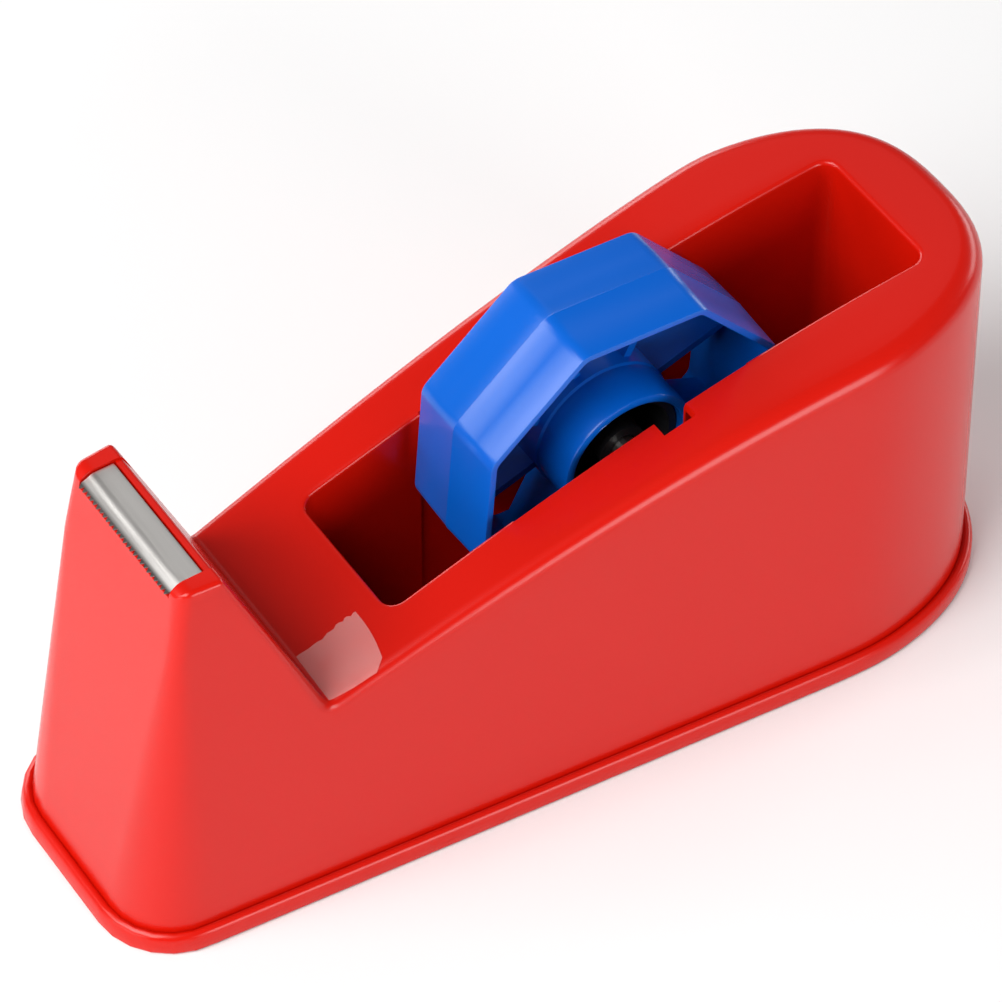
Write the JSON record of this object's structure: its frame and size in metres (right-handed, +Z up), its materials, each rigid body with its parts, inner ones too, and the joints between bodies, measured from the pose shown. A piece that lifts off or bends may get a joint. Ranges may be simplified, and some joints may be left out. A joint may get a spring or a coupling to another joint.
{
  "type": "tape dispenser",
  "caption": "Weighted desk tape dispenser: moulded body with a tape well, toothed steel cutter blade and a lift-out spool drum on an axle.",
  "frame": {"origin": "centre of the underside, on the surface that the dispenser stands on", "axes": "+X from the cutter end to the rear, +Y across the body away from the side with -Y, +Z up"},
  "size_m": [0.2082, 0.0854, 0.0952],
  "materials": {
    "red_plastic": "satin moulded red plastic",
    "blue_plastic": "glossy moulded blue plastic",
    "dark_plastic": "matt dark plastic",
    "steel": "plain bright steel strip",
    "cast_iron": "rough cast",
    "foam": "closed-cell anti-slip foam"
  },
  "bodies": {
    "root": {"body_shell": "red_plastic", "base_plate": "dark_plastic", "base_pad": "foam", "ballast_front": "cast_iron", "ballast_near": "cast_iron", "ballast_far": "cast_iron", "base_screw_nose": "steel", "base_screw_mid_near": "steel", "base_screw_mid_far": "steel", "base_screw_rear_near": "steel", "base_screw_rear_far": "steel", "cutter_blade": "steel"},
    "spool_axle": {"axle": "steel"},
    "spool": {"core_drum": "blue_plastic", "core_hub": "dark_plastic"}
  },
  "joints": [
    {"name": "spool_lift", "type": "slide", "parent": "root", "child": "spool_axle", "axis": [0.3827, 0, 0.9239], "range_m": [0, 0.07]},
    {"name": "spool_spin", "type": "hinge", "parent": "spool_axle", "child": "spool", "pos_m": [0.0205, 0, 0.0603], "axis": [0, 1, 0], "continuous": true}
  ]
}
